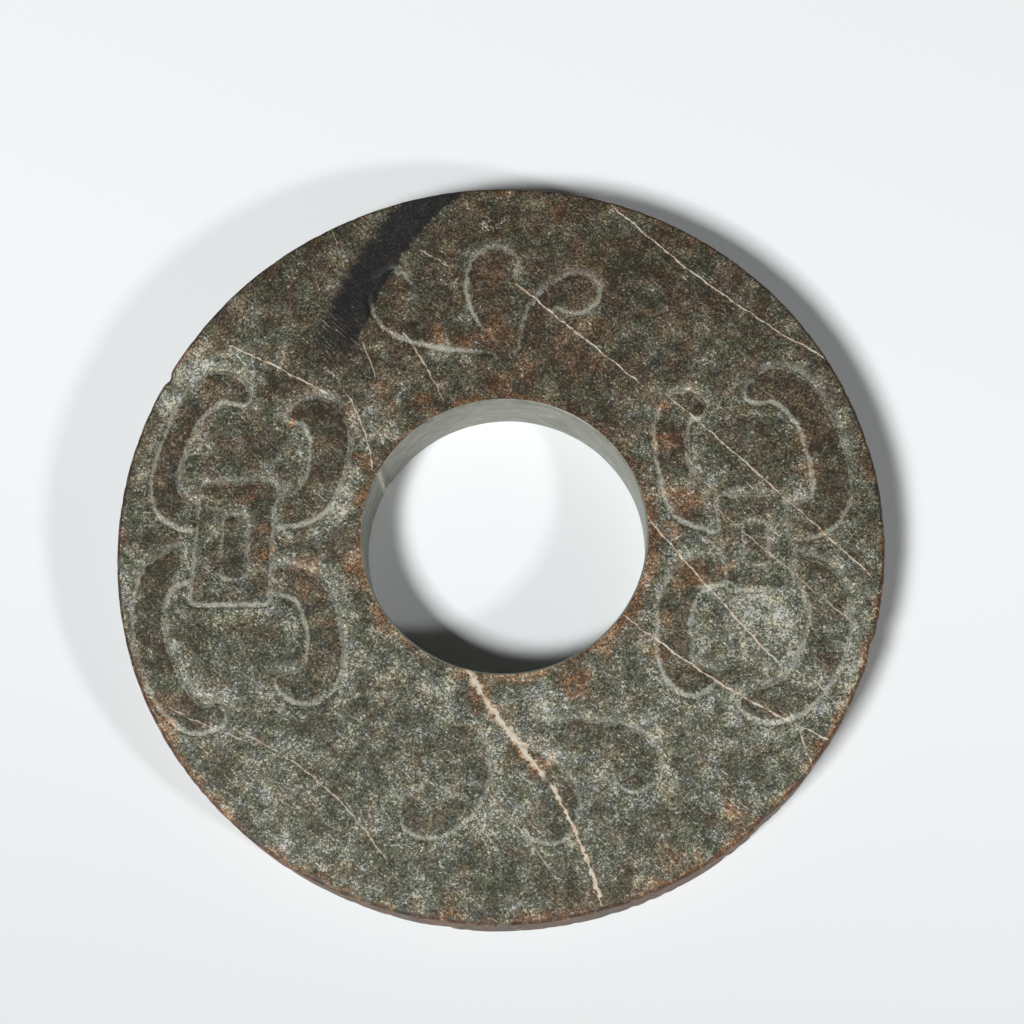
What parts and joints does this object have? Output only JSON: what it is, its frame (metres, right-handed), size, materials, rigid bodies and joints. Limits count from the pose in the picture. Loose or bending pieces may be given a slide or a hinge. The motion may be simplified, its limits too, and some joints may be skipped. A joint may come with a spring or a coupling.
{
  "type": "jade bi disc",
  "caption": "Flat ring of dark green stone with a wide central bore and low relief on its upper face; lies on its plain back or hangs by the bore.",
  "frame": {"origin": "under the middle of the rim, on the plain back that the disc lies on", "axes": "+Z out of the carved face, +Y to the top of the design, +X to its right"},
  "size_m": [0.2, 0.2, 0.0168],
  "materials": {
    "green_jade": "satin"
  },
  "bodies": {
    "root": {"bi_disc": "green_jade"}
  },
  "joints": []
}
